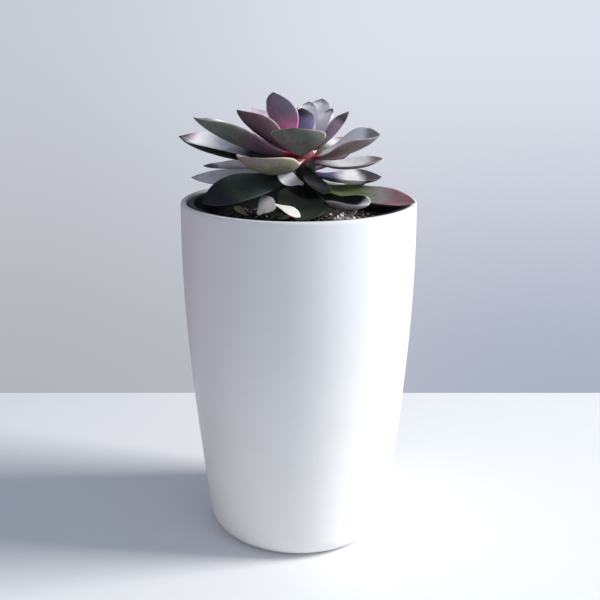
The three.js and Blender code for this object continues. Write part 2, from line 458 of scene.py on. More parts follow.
def potProfile():
    recess, depth = pot["recessRadius"], pot["recessDepth"]
    heel, side = pot["heelRings"], pot["sideRings"]
    rim, top, lip = pot["rimRadius"], pot["height"], pot["lip"]
    soft = pot["lipRound"] * lip
    inside = rim - pot["wall"]
    ledgeHeight, ledgeWidth = pot["ledgeHeight"], pot["ledgeWidth"]
    ledge = innerRadius(ledgeHeight)
    floorEdge = innerRadius(pot["floorCornerTop"])
    profile = [(pole, depth), (recess * 0.6, depth)]
    profile += corner(recess, 0, pot["recessCorner"])
    profile += [(pot["footRadius"] - pot["footRing"], 0)]
    profile += [tuple(curvePoint(heelPoints, ring / heel)) for ring in range(1, heel)]
    profile += [tuple(curvePoint(sidePoints, ring / side)) for ring in range(side)]
    profile += [(sideRadius(top - 3 * lip), top - 3 * lip), (rim, top - lip), (rim - soft, top - soft)]
    profile += [(rim - lip, top), (inside + lip, top), (inside + soft, top - soft), (inside, top - lip)]
    profile += corner(ledge, ledgeHeight, pot["ledgeCorner"])
    profile += [(ledge - ledgeWidth, ledgeHeight - pot["ledgeDrop"])]
    profile += [(innerRadius(height * mm) - ledgeWidth, height * mm) for height in pot["innerHeights"]]
    profile += corner(floorEdge, 0, pot["floorCorner"])
    profile += [(floorEdge / 3, pot["floor"]), (pole, pot["floor"])]
    return profile


def glazeMaterial():
    material, board = newMaterial("whiteGlaze")
    place = board.place()
    cloud = board.speckle(place, pot["cloud"], 3)
    height = board.part(place, "Z")
    colour = board.mix(*pot["tones"], board.ease(cloud, (0.3, 0.7)))
    # Painted shade: the glaze is coloured darker towards the top of the pot, where less light comes up from
    # the table.
    upper = board.ease(height, pot["upperShadeRise"]) * pot["upperShadeShare"]
    colour = board.mix(colour, pot["upperShadeTone"], upper)
    pit = board.speckle(place, pot["pits"], 2)
    ripple = board.speckle(board.stretched(place, (1, 1, 2.5)), pot["ripples"], 2)
    colour = board.mix(colour, pot["pitTone"], board.ease(pit, (0.72, 0.8)) * 0.35)
    board.finish({
        "Base Color": colour,
        "Roughness": 0.34 + 0.12 * cloud,
        "Normal": board.bump(pit * 0.3 + ripple, pot["relief"]),
        "IOR": 1.5,
    })
    return material


def makePot():
    shell = turnedShell("glazedPot", potProfile(), pot["steps"])
    smoothed(shell, 2)
    dress(shell, glazeMaterial())
    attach(shell, "root")
    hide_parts("cover_pot")


makePot()
print("pot made")

# Insert: the dark nursery pot that hangs on the ledge, with a rolled rim and drain holes
insert = {
    "wall": 1.4 * mm,
    "sideGap": 2.6 * mm,
    "bottom": 20 * mm,
    "floorTop": 22 * mm,
    "footCorner": ((-5, 0), (-1.4, 1.2)),
    "floorCorner": ((-5, 0.3), (-8, 0)),
    "rimBottom": 174.8 * mm,
    "rimTop": 179.4 * mm,
    "rimOuter": 56.3 * mm,
    "rimCorners": {
        "neck": ((0, -0.4), (0.5, 0)),
        "lower": ((-0.3, 0), (0, 0.4)),
        "upper": ((0, -0.9), (-0.3, -0.2), (-1, 0)),
        "inner": ((1, 0), (0.2, -0.3), (0, -1)),
    },
    "neck": 165 * mm,
    "heights": (26, 50, 90, 130, 160),
    "drains": 6,
    "drainRadius": 2.8 * mm,
    "drainCircle": 24 * mm,
    "drainDepth": 8 * mm,
    "steps": 48,
    "tones": ((0.009, 0.01, 0.013), (0.02, 0.021, 0.025)),
    "scuffs": 160,
    "dust": 420,
    "dustTone": (0.12, 0.11, 0.1),
    "sheen": 0.18,
    "relief": 0.08 * mm,
}


def insertRadius(height):
    return innerRadius(height) - insert["sideGap"]


def insertProfile():
    bottom, floorTop, wall = insert["bottom"], insert["floorTop"], insert["wall"]
    low, high, outer = insert["rimBottom"], insert["rimTop"], insert["rimOuter"]
    foot = insertRadius(bottom)
    neck = insertRadius(insert["neck"])
    corners = insert["rimCorners"]
    sides = [(insertRadius(height * mm), height * mm) for height in insert["heights"]]
    profile = [(pole, bottom), (foot * 0.5, bottom)]
    profile += corner(foot, bottom, insert["footCorner"])
    profile += sides
    profile += corner(neck, low, corners["neck"])
    profile += corner(outer, low, corners["lower"])
    profile += corner(outer, high, corners["upper"])
    profile += corner(neck - wall, high, corners["inner"])
    profile += [(radius - wall, height) for radius, height in reversed(sides)]
    profile += corner(foot, floorTop, insert["floorCorner"])
    profile += [(pole, floorTop)]
    return profile


def plasticMaterial():
    material, board = newMaterial("darkPlastic")
    place = board.place()
    scuff = board.speckle(board.stretched(place, (1, 1, 6)), insert["scuffs"], 3)
    dust = board.speckle(place, insert["dust"], 3)
    colour = board.mix(*insert["tones"], scuff)
    colour = board.mix(colour, insert["dustTone"], board.ease(dust, (0.62, 0.8)) * 0.2)
    board.finish({
        "Base Color": colour,
        "Roughness": 0.36 + 0.22 * scuff,
        "Specular IOR Level": insert["sheen"],
        "Normal": board.bump(scuff, insert["relief"]),
    })
    return material


def drill(shell, spot):
    clearSelection()
    bpy.ops.mesh.primitive_cylinder_add(
        vertices=24, radius=insert["drainRadius"], depth=insert["drainDepth"], location=spot
    )
    bit = bpy.context.object
    bpy.ops.object.transform_apply(location=True, rotation=True, scale=True)
    alone(shell)
    cut = shell.modifiers.new("drain", "BOOLEAN")
    cut.object = bit
    cut.solver = "EXACT"
    applyAll(shell)
    bpy.data.objects.remove(bit)


def makeInsert():
    shell = turnedShell("nurseryInsert", insertProfile(), insert["steps"])
    smoothed(shell, 1)
    middle = (insert["bottom"] + insert["floorTop"]) / 2
    for number in range(insert["drains"]):
        drill(shell, around(insert["drainCircle"], 2 * math.pi * number / insert["drains"], middle))
    bpy.ops.object.shade_smooth_by_angle(angle=math.radians(35))
    dress(shell, plasticMaterial())
    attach(shell, "root")
    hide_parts("insert_pot")


makeInsert()
print("insert made")

# Soil: a crumbly bed that mounds towards the stem, with peat crumbs and white perlite grains lying on it
soil = {
    "top": 168 * mm,
    "mound": 1.5 * mm,
    "moundRadius": 12 * mm,
    "moundPower": 0.7,
    "edgeDip": 0.6 * mm,
    "edgeGap": 0.3 * mm,
    "edgeCorner": ((0, -0.9), (-0.4, 0)),
    "sideGap": 0.4 * mm,
    "floorGap": 0.3 * mm,
    "footIn": 8 * mm,
    "rings": 15,
    "steps": 60,
    "lumpScale": 6 * mm,
    "lumpHeight": 1.6 * mm,
    "lumpMiddle": 0.55,
    "lumpsEdge": 0.8 * mm,
    "lumpsBelow": 1.2 * mm,
    "stemPlace": (6.6 * mm, 0, 0),
    "stemClear": 5.5 * mm,
    "crumbs": 420,
    "crumbSize": (0.7 * mm, 1.9 * mm),
    "crumbShape": (1, 0.8, 0.6),
    "crumbsEdge": 1.5 * mm,
    "perlite": 120,
    "perliteSize": (0.6 * mm, 1.6 * mm),
    "perliteShape": (1, 0.9, 0.8),
    "perliteEdge": 2 * mm,
    "drift": 140,
    "driftPlace": (21 * mm, 0, 0),
    "driftReach": 15 * mm,
    "roughen": 0.35,
    "smaller": (0.6, 1),
    "narrower": (0.6, 1.1),
    "flatter": (0.5, 0.9),
    "tipped": 0.9,
    "lift": 0.18,
    "tones": ((0.006, 0.005, 0.005), (0.045, 0.036, 0.03)),
    "grainTone": (0.11, 0.085, 0.06),
    "relief": 1.1 * mm,
    "perliteTones": ((0.5, 0.49, 0.45), (0.8, 0.8, 0.77)),
    "perliteRelief": 0.3 * mm,
    "seed": 11,
}


def soilEdge():
    return insertRadius(insert["neck"]) - insert["wall"] - soil["edgeGap"]


def soilHeight(radius):
    share = min(1, max(0, (soilEdge() - radius) / (soilEdge() - soil["moundRadius"])))
    rise = (soil["mound"] + soil["edgeDip"]) * share ** soil["moundPower"]
    return soil["top"] - soil["edgeDip"] + rise


def soilProfile():
    bottom = insert["floorTop"] + soil["floorGap"]
    foot = insertRadius(insert["bottom"]) - soil["footIn"]
    gap = insert["wall"] + soil["sideGap"]
    edge = soilEdge()
    profile = [(pole, bottom), (foot * 0.5, bottom), (foot, bottom)]
    profile += [(insertRadius(height * mm) - gap, height * mm) for height in insert["heights"]]
    profile += corner(edge, soilHeight(edge), soil["edgeCorner"])
    for ring in range(1, soil["rings"]):
        radius = edge * (1 - ring / soil["rings"])
        profile.append((radius, soilHeight(radius)))
    profile.append((pole, soilHeight(0)))
    return profile


def soilMaterial():
    material, board = newMaterial("pottingSoil")
    place = board.place()
    clump = board.speckle(place, 260, 5, 0.65)
    grain = board.speckle(place, 1500, 3)
    colour = board.mix(*soil["tones"], board.ease(clump, (0.35, 0.7)))
    colour = board.mix(colour, soil["grainTone"], board.ease(grain, (0.64, 0.74)) * 0.6)
    relief = board.bump(clump + grain * 0.35, soil["relief"])
    board.finish({"Base Color": colour, "Roughness": 0.92, "Normal": relief})
    return material


def perliteMaterial():
    material, board = newMaterial("perlite")
    pore = board.speckle(board.place(), 1900, 3, 0.6)
    colour = board.mix(*soil["perliteTones"], board.ease(pore, (0.35, 0.6)))
    relief = board.bump(pore, soil["perliteRelief"])
    board.finish({"Base Color": colour, "Roughness": 0.9, "Normal": relief})
    return material


def crumbMaster(name, squash):
    clearSelection()
    bpy.ops.mesh.primitive_ico_sphere_add(subdivisions=1, radius=1)
    crumb = bpy.context.object
    crumb.name = name
    bpy.ops.object.mode_set(mode="EDIT")
    stretch(squash, (0, 0, 0))
    bpy.ops.transform.vertex_random(offset=soil["roughen"], uniform=0.6, seed=soil["seed"])
    bpy.ops.object.mode_set(mode="OBJECT")
    return crumb


# One copy of a crumb, with its own mesh, turned, tipped and sized at random
def strewn(master, spot, chance, sizes):
    crumb = master.copy()
    crumb.data = master.data.copy()
    scene.collection.objects.link(crumb)
    size = chance.uniform(*sizes) * chance.uniform(*soil["smaller"])
    turn = Matrix.Rotation(chance.uniform(0, math.tau), 4, "Z")
    tip = Matrix.Rotation(chance.uniform(-soil["tipped"], soil["tipped"]), 4, "X")
    width = size * chance.uniform(*soil["narrower"])
    height = size * chance.uniform(*soil["flatter"])
    lifted = Matrix.Translation(spot + Vector((0, 0, size * soil["lift"])))
    crumb.data.transform(lifted @ turn @ tip @ Matrix.Diagonal((size, width, height, 1)))
    return crumb


def scatter(master, name, spots, chance, sizes):
    copies = [strewn(master, spot, chance, sizes) for spot in spots]
    bpy.data.objects.remove(master)
    clearSelection()
    for crumb in copies:
        crumb.select_set(True)
    bpy.context.view_layer.objects.active = copies[0]
    bpy.ops.object.join()
    piece = bpy.context.object
    piece.name = name
    bpy.ops.object.mode_set(mode="EDIT")
    bpy.ops.mesh.select_all(action="SELECT")
    bpy.ops.mesh.normals_make_consistent(inside=False)
    bpy.ops.object.mode_set(mode="OBJECT")
    bpy.ops.object.shade_smooth_by_angle(angle=math.radians(40))
    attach(piece, "root")
    return piece


def bedSpots(count, chance, reach):
    spots = []
    while len(spots) < count:
        radius = reach * math.sqrt(chance.random())
        spot = around(radius, chance.uniform(0, math.tau))
        if (spot - Vector(soil["stemPlace"])).length > soil["stemClear"]:
            spot.z = soilHeight(radius)
            spots.append(spot)
    return spots


# Grains washed together in one place
def driftSpots(chance):
    spots = []
    for _ in range(soil["drift"]):
        radius = soil["driftReach"] * chance.random()
        spot = Vector(soil["driftPlace"]) + around(radius, chance.uniform(0, math.tau))
        spot.z = soilHeight(spot.xy.length)
        spots.append(spot)
    return spots


# The bed's upper face made uneven, clear of its edge
def roughenTop(bed):
    top = bed.vertex_groups.new(name="top")
    inside = soilEdge() - soil["lumpsEdge"]
    above = soil["top"] - soil["lumpsBelow"]
    upper = [v.index for v in bed.data.vertices if v.co.z > above and v.co.xy.length < inside]
    top.add(upper, 1, "REPLACE")
    lumps = bpy.data.textures.new("soilLumps", "CLOUDS")
    lumps.noise_scale = soil["lumpScale"]
    lumps.noise_depth = 3
    rough = bed.modifiers.new("lumps", "DISPLACE")
    rough.texture = lumps
    rough.strength = soil["lumpHeight"]
    rough.mid_level = soil["lumpMiddle"]
    rough.direction = "Z"
    rough.vertex_group = "top"
    applyAll(bed)


def makeSoil():
    bed = turnedShell("soilBed", soilProfile(), soil["steps"])
    smoothed(bed, 1)
    roughenTop(bed)
    dress(bed, soilMaterial())
    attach(bed, "root")
    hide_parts("potting_soil")
    chance = random.Random(soil["seed"])
    spots = bedSpots(soil["crumbs"], chance, soilEdge() - soil["crumbsEdge"])
    crumb = crumbMaster("crumb", soil["crumbShape"])
    crumbs = scatter(crumb, "peatCrumbs", spots, chance, soil["crumbSize"])
    dress(crumbs, soilMaterial())
    spots = bedSpots(soil["perlite"], chance, soilEdge() - soil["perliteEdge"]) + driftSpots(chance)
    grain = crumbMaster("grain", soil["perliteShape"])
    grains = scatter(grain, "perliteGrains", spots, chance, soil["perliteSize"])
    dress(grains, perliteMaterial())


makeSoil()
print("soil made")

# Stem: short, woody and uneven with leaf scars, leaning a little, red where the leaves leave it
stem = {
    "foot": 160 * mm,
    # radius and height of each ring, in mm
    "rings": (
        (4.4, 160), (4.5, 168), (4.3, 172), (4.2, 178), (4.5, 184), (4.9, 190), (5.2, 196),
        (5.4, 201), (4.9, 205.5), (4, 208.5), (3, 211), (1.8, 212.8), (0.5, 213.6),
    ),
    # the plainer outline that the leaves' roots are set out from, in mm
    "leafRings": ((4, 160), (4.2, 180), (5, 192), (5.4, 201), (4.8, 206), (3.4, 210), (2, 212.5)),
    "crown": 2.5 * mm,
    "height": 203 * mm,
    "slope": 0.12,
    "steps": 24,
    "scar": 0.44 * mm,
    "scarScale": 3.5 * mm,
    "bark": ((0.012, 0.009, 0.008), (0.07, 0.055, 0.042)),
    "patch": (0.13, 0.115, 0.12),
    "young": ((0.2, 0.022, 0.035), (0.36, 0.06, 0.075)),
    "youngRise": (0.1995, 0.2045),
    "relief": 0.5 * mm,
}


def stemCentre(height):
    return stem["crown"] + stem["slope"] * (stem["height"] - height)


def stemRadius(height):
    rings = stem["leafRings"]
    for (lowRadius, low), (highRadius, high) in zip(rings, rings[1:]):
        if height / mm <= high:
            share = (height / mm - low) / (high - low)
            return (lowRadius + (highRadius - lowRadius) * share) * mm
    return rings[-1][0] * mm


def stemMaterial():
    material, board = newMaterial("woodyStem")
    place = board.place()
    height = board.part(place, "Z")
    fibre = board.speckle(board.stretched(place, (1, 1, 0.18)), 900, 4, 0.6)
    patch = board.speckle(place, 240, 3)
    bark = board.mix(*stem["bark"], board.ease(fibre, (0.35, 0.68)))
    bark = board.mix(bark, stem["patch"], board.ease(patch, (0.56, 0.72)) * 0.5)
    young = board.mix(*stem["young"], patch)
    colour = board.mix(bark, young, board.ease(height + patch * 0.004, stem["youngRise"]))
    relief = board.bump(fibre + patch * 0.5, stem["relief"])
    board.finish({"Base Color": colour, "Roughness": 0.62, "Normal": relief})
    return material


def makeStem():
    profile = [(pole, stem["foot"])] + [(radius * mm, height * mm) for radius, height in stem["rings"]]
    trunk = turnedShell("woodyStem", profile, stem["steps"], stemCentre)
    smoothed(trunk, 2)
    scars = bpy.data.textures.new("leafScars", "CLOUDS")
    scars.noise_scale = stem["scarScale"]
    rough = trunk.modifiers.new("scars", "DISPLACE")
    rough.texture = scars
    rough.strength = stem["scar"]
    applyAll(trunk)
    dress(trunk, stemMaterial())
    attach(trunk, "root")
    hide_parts("stem")


makeStem()
print("stem made")

# Leaves: one spoon-shaped leaf with thin margins, a keel and a small point, copied and bent for each place.
# Shares are of the leaf's length, half width or thickness.
leafShape = {
    "sides": 12,
    "stations": (0, 0.09, 0.22, 0.36, 0.5, 0.64, 0.76, 0.86, 0.94, 0.98),
    "baseShare": 0.28,
    "widest": 0.62,
    "rootStart": 0.03,
    "rootStep": 0.015,
    "rootDrop": 0.15,
    "rootSize": 0.6,
    "rootReach": 1.3 * mm,
    "marginDrop": 0.14,
    "marginReach": 1.07,
    "marginFrom": 0.97,
    "marginCrease": 0.6,
    "keelFrom": 0.3,
    "keelDepth": 0.05,
    "keelCrease": 0.3,
    "tipSize": (1, 0.5, 0.42),
    "tipDrop": 0.08,
    "point": 1.015,
    "thinnest": 0.6 * mm,
    "thickening": 0.135,
    "stemGap": 0.6 * mm,
    "wobble": 0.5 * mm,
    "wobbleScale": 13 * mm,
    "rootEnd": 0.65,
    "tipStart": 0.78,
    "seedStep": 0.37,
}

# Leaves whose end tones reach another share of the length: where the root's ends and the tip's starts
leafReach = {
    1: (0.65, 0.7),
    5: (0.65, 0.94),
    8: (0.4, 0.72),
    9: (0.5, 0.67),
    18: (0.65, 0.9),
    24: (0.65, 0.92),
    26: (0.65, 0.72),
    28: (0.65, 0.9),
    31: (0.65, 0.93),
}

# What each face of a leaf is coloured, as the wax lies thick or thin on it. Ink, soot, fern and pine are
# partly dark leaf tips and partly painted shade on low leaves in the rosette's shade; chalk and sage also
# serve as painted light on shaded faces of leaves 5, 6 and 10.
tones = {
    "chalk": (0.85, 0.85, 0.87),
    "pearl": (0.78, 0.79, 0.81),
    "blush": (0.7, 0.62, 0.66),
    "ash": (0.12, 0.125, 0.11),
    "plum": (0.1, 0.055, 0.08),
    "wine": (0.1, 0.062, 0.068),
    "mauve": (0.18, 0.15, 0.19),
    "magenta": (0.42, 0.14, 0.26),
    "heather": (0.38, 0.31, 0.39),
    "violet": (0.11, 0.1, 0.19),
    "clay": (0.21, 0.175, 0.155),
    "olive": (0.2, 0.19, 0.13),
    "moss": (0.1, 0.13, 0.055),
    "pine": (0.052, 0.078, 0.062),
    "slate": (0.2, 0.19, 0.19),
    "rose": (0.3, 0.15, 0.17),
    "soot": (0.02, 0.02, 0.024),
    "ink": (0.005, 0.007, 0.0055),
    "fern": (0.016, 0.024, 0.013),
    "berry": (0.2, 0.1, 0.115),
    "straw": (0.76, 0.74, 0.64),
    "sage": (0.45, 0.49, 0.42),
    "hay": (0.4, 0.36, 0.22),
    "sprig": (0.2, 0.25, 0.07),
}

# azimuth, height of the base, rise, curl, roll, cup, length and width,
# then tones of the underside, the upper face, the end at the stem and the tip
rosette = (
    (341.2, 187.6, -14.2, 15.5, 11.5, 48.7, 50.4, 22.2, "ash", "slate", "moss", "berry"),
    (132, 187, -6, -4, 0, 45, 50, 24, "ash", "pearl", "plum", "rose"),
    # leaf 3 is coloured near black all over: painted shade for the rosette's shadow it lies in
    (266.2, 189, -6, -14.2, -15, 30, 44.7, 23.5, "ink", "ink", "ink", "fern"),
    (50, 185.5, -2, -4, 0, 45, 39, 23, "ash", "pearl", "moss", "rose"),
    # leaf 5's chalk underside is partly the leaf's waxy colour and partly painted light on a face in shade
    (176, 194.7, -12, 16, -16.1, 30, 52.1, 17.6, "chalk", "chalk", "", "slate"),
    # leaf 6: the ink upper face is painted shade, and the light sage underside and chalk tip are painted
    # light
    (304, 183.4, -10.3, 24.1, 4.6, 92.8, 44.5, 17.7, "sage", "ink", "", "chalk"),
    (101, 190.5, 0, -4, 0, 45, 50, 24, "ash", "pearl", "plum", "rose"),
    # leaf 8 is coloured very dark: painted shade for the rosette's shadow over it
    (210.6, 191.6, -2, -19.1, -27.8, 45.8, 51.2, 20, "soot", "pine", "soot", "soot"),
    (6.8, 193, -12, 16.7, 8.3, 40.1, 32.6, 20.4, "chalk", "chalk", "violet", "ink"),
    # leaf 10's chalk underside is partly the leaf's waxy colour and partly painted light on a face in shade
    (151, 198.8, -5, -2, 2, 45, 56, 21, "chalk", "chalk", "", "soot"),
    # leaf 11 is coloured near black: painted shade for the shadow under the crown by the stem
    (285.3, 196.7, -25.6, 7, -20.2, 30, 24.2, 14.9, "soot", "soot", "ink", "ink"),
    (68, 195.5, 4, 2, 0, 55, 46, 25, "ash", "pearl", "plum", "rose"),
    (199, 203.7, 10.8, 20, 0, 110, 53, 24, "ash", "pearl", "plum", "ash"),
    (342, 202.6, 13, 12, 11, 96, 34.8, 24.5, "clay", "chalk", "", "slate"),
    (118, 201.2, 12, 6, 0, 60, 46, 24, "mauve", "pearl", "plum", "rose"),
    (240.1, 201, -12, 40, 0.7, 74.4, 47.2, 27.8, "olive", "blush", "", "clay"),
    (44, 200.2, 10, 8, 0, 65, 33.5, 20, "ash", "pearl", "moss", "rose"),
    # leaf 18: its ink underside, root and tip are painted shade under the leaf above and the heart
    (174, 201.5, 0, 20, -14, 80, 58, 24, "ink", "chalk", "ink", "ink"),
    (86, 203.6, 23, 10, 0, 70, 43, 23, "mauve", "pearl", "plum", "rose"),
    (214, 206.1, 23.5, 18, 4, 110, 37.5, 19, "wine", "blush", "", "wine"),
    (345, 199.7, -10.2, 29.3, 11.3, 40, 34, 15.4, "clay", "chalk", "", "clay"),
    (145, 204.5, 30, 14, 0, 80, 33, 18, "mauve", "blush", "plum", "heather"),
    (264, 205.2, 16, 20, 0, 50, 32, 26, "ash", "blush", "", "ash"),
    (69, 206.4, 38, 12, 0, 80, 31.5, 15, "chalk", "chalk", "", "soot"),
    (150, 207.8, 44, 14, 0, 80, 25, 14, "pearl", "blush", "", "heather"),
    (5, 205.8, 39.4, 13.5, -15, 99.3, 24.7, 14.5, "mauve", "chalk", "", "soot"),
    (219.2, 208.2, 55.4, 16, 6, 41.1, 28.6, 20.6, "mauve", "blush", "magenta", "mauve"),
    (28, 207, 50, 14, 0, 80, 21, 13, "chalk", "chalk", "", "soot"),
    (160, 209.3, 60, 14, 0, 85, 10, 8.5, "chalk", "blush", "heather", "rose"),
    (268, 208.8, 70, 16, 0, 85, 17.5, 13, "violet", "blush", "violet", "soot"),
    (76, 209, 56, 12, 0, 85, 21, 12, "chalk", "chalk", "", "soot"),
    (202, 210.6, 73, 18, 0, 95, 7.5, 6, "heather", "blush", "magenta", "rose"),
    (347, 210, 74, 18, 0, 95, 11, 8, "heather", "blush", "magenta", "rose"),
    (116, 211, 74, 18, 0, 95, 11, 7.5, "heather", "blush", "magenta", "rose"),
    (300, 211.9, 77, 20, 0, 95, 8, 6, "heather", "blush", "magenta", "rose"),
    (40, 212, 78, 20, 0, 95, 8.5, 6, "heather", "blush", "magenta", "rose"),
)


def widthShare(along):
    widest, base = leafShape["widest"], leafShape["baseShare"]
    if along < widest:
        return base + (1 - base) * (1 - math.cos(math.pi * along / widest)) / 2
    past = (along - widest) / (1 - widest)
    return (1 - past**2.2) ** 0.68


def thicknessShare(along):
    return (0.62 + 0.38 * math.sin(math.pi * along**0.75)) * math.sqrt(1 - along**8)


# A circle whose upper half is pressed flat, drawn out into thin margins that hang a little
def leafSection(master):
    pick(master, lambda spot: spot.y > 0.1)
    stretch((1, 0, 1), (0, 0, 0))
    pick(master, lambda spot: abs(spot.z) > 0.95)
    stretch((1, 1, leafShape["marginReach"]), (0, 0, 0))
    bpy.ops.transform.translate(value=(0, -leafShape["marginDrop"], 0))
    bpy.ops.mesh.select_all(action="SELECT")


# The flat leaf: 1 long in X, upper face at Y 0, thickness 1 below it, 1 wide in Z
def leafMaster():
    clearSelection()
    bpy.ops.mesh.primitive_circle_add(
        vertices=leafShape["sides"], radius=1, rotation=(0, math.pi / 2, 0)
    )
    master = bpy.context.object
    master.name = "leafMaster"
    bpy.ops.object.transform_apply(location=True, rotation=True, scale=True)
    bpy.ops.object.mode_set(mode="EDIT")
    leafSection(master)
    start, step, drop = leafShape["rootStart"], leafShape["rootStep"], leafShape["rootDrop"]
    small, point = leafShape["rootSize"], leafShape["point"]
    thick, wide = thicknessShare(0), widthShare(0)
    stretch((1, thick * small, wide * small), (0, 0, 0))
    bpy.ops.transform.translate(value=(-start, -drop, 0))
    extrudeBy((step, drop, 0))
    along = step - start
    stretch((1, 1 / small, 1 / small), (along, 0, 0))
    for station in leafShape["stations"]:
        extrudeBy((station - along, 0, 0))
        thickNext, wideNext = thicknessShare(station), widthShare(station)
        stretch((1, thickNext / thick, wideNext / wide), (station, 0, 0))
        along, thick, wide = station, thickNext, wideNext
    extrudeBy((1 - along, 0, 0))
    stretch(leafShape["tipSize"], (1, -leafShape["tipDrop"], 0))
    extrudeBy((point - 1, 0, 0))
    bpy.ops.mesh.merge(type="CENTER")
    pick(master, lambda spot: spot.x < tiny - start)
    bpy.ops.mesh.merge(type="CENTER")
    bpy.ops.mesh.select_all(action="SELECT")
    bpy.ops.mesh.normals_make_consistent(inside=False)
    creaseLines(master)
    bpy.ops.object.mode_set(mode="OBJECT")
    mapLeaf(master)
    smoothed(master, 2)
    return master


def ringKey(vert):
    return round(vert.co.x, 4)


# How wide each ring of the flat leaf is, by its place along the leaf
def ringWidths(verts):
    widths = {}
    for vert in verts:
        widths[ringKey(vert)] = max(widths.get(ringKey(vert), 0), abs(vert.co.z))
    return widths


def onMargin(vert, widths):
    return abs(vert.co.z) > leafShape["marginFrom"] * widths[ringKey(vert)]


def onKeel(vert):
    below = vert.co.y < -leafShape["keelDepth"]
    return abs(vert.co.z) < tiny and below and vert.co.x > leafShape["keelFrom"]


def creaseLines(master):
    cage = bmesh.from_edit_mesh(master.data)
    layers = cage.edges.layers.float
    crease = layers.get("crease_edge") or layers.new("crease_edge")
    widths = ringWidths(cage.verts)
    for edge in cage.edges:
        first, second = edge.verts
        if abs(first.co.x - second.co.x) < tiny or first.co.x * second.co.x < 0:
            continue
        if all(onMargin(vert, widths) and widths[ringKey(vert)] > 0 for vert in edge.verts):
            edge[crease] = leafShape["marginCrease"]
        elif all(onKeel(vert) for vert in edge.verts):
            edge[crease] = leafShape["keelCrease"]
    bmesh.update_edit_mesh(master.data)


# The map runs from base to tip and from margin to margin. An attribute is 1 on the upper face,
# 0 on the underside and half way on the margins and at both ends.
def mapLeaf(master):
    mesh = master.data
    widths = ringWidths(mesh.vertices)
    layout = mesh.uv_layers.new(name="leafMap")
    side = mesh.attributes.new("upperFace", "FLOAT", "POINT")
    across = []
    for vert in mesh.vertices:
        width = widths[ringKey(vert)]
        share = vert.co.z / width if width > tiny else 0
        across.append(0.5 + 0.5 * share)
        edge = abs(share) > leafShape["marginFrom"] or width < tiny
        side.data[vert.index].value = 0.5 if edge else float(vert.co.y > -tiny)
    for loop in mesh.loops:
        spot = mesh.vertices[loop.vertex_index].co
        layout.data[loop.index].uv = (min(1, max(0, spot.x)), across[loop.vertex_index])


# What lies over a leaf's own tones. Each "from" is where that change starts and where it is complete.
leafSkin = {
    "lanes": (3, 30, 40),
    "cloud": 95,
    "mottle": 260,
    "dust": 900,
    "faceFrom": (0.42, 0.58),
    "warm": (1.15, 0.9, 1.0),
    "warmFrom": (0.6, 1.0),
    "warmShare": 0.5,
    "rootFrom": (0.17, -0.17),
    "tipFrom": (0.02, 0.21),
    "tipShare": 0.94,
    "streak": (0.45, 0.36, 0.42),
    "streakFrom": (0.5, 0.8),
    "streakShare": 0.5,
    "mottled": (0.62, 0.66, 0.56),
    "mottleFrom": (0.5, 0.68),
    "mottleShare": 0.4,
    "wax": (1.35, 1.35, 1.38),
    "waxFrom": (0.5, 0.85),
    "dusty": (0.7, 0.69, 0.72),
    "dustFrom": (0.62, 0.75),
    "dustShare": 0.025,
    "young": (0.27, 0.02, 0.045),
    "youngAlong": (0.16, 0.05),
    "youngRise": (0.196, 0.202),
    "youngShare": 0.9,
    # pale margins: partly the leaf's own paler edge, partly painted highlight
    "rim": (0.6, 0.56, 0.54),
    "paleRimAndHighlightFrom": (0.92, 0.97),
    "paleRimAndHighlightShare": 0.8,
    "palest": (0.86, 0.86, 0.88),
    "sheen": 0.12,
    "relief": 0.4 * mm,
    "glowDeep": 2 * mm,
}


